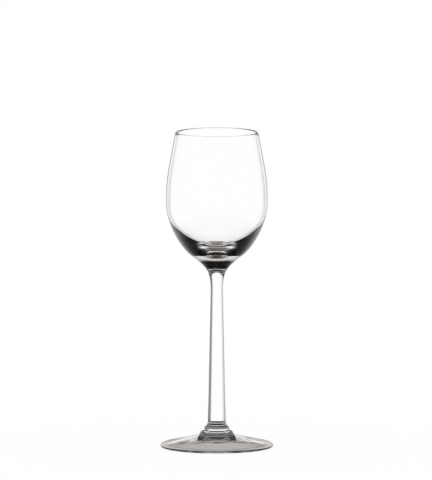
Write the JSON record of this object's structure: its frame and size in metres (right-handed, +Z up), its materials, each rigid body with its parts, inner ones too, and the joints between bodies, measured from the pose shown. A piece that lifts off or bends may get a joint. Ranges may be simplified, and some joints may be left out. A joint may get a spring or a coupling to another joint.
{
  "type": "liqueur glass",
  "caption": "Clear stemmed liqueur glass with a tapered egg-shaped bowl, a slim stem that widens downwards and a shallow conical foot.",
  "frame": {"origin": "centre of the ring that the foot stands on, on the glass's upright axis", "axes": "+Z up along the axis of revolution, from the foot to the rim; the glass is round, so +X and +Y are any two level directions"},
  "size_m": [0.055, 0.055, 0.155],
  "materials": {
    "clear_glass": "polished"
  },
  "bodies": {
    "root": {"bowl": "clear_glass", "stem": "clear_glass", "foot": "clear_glass"}
  },
  "joints": []
}
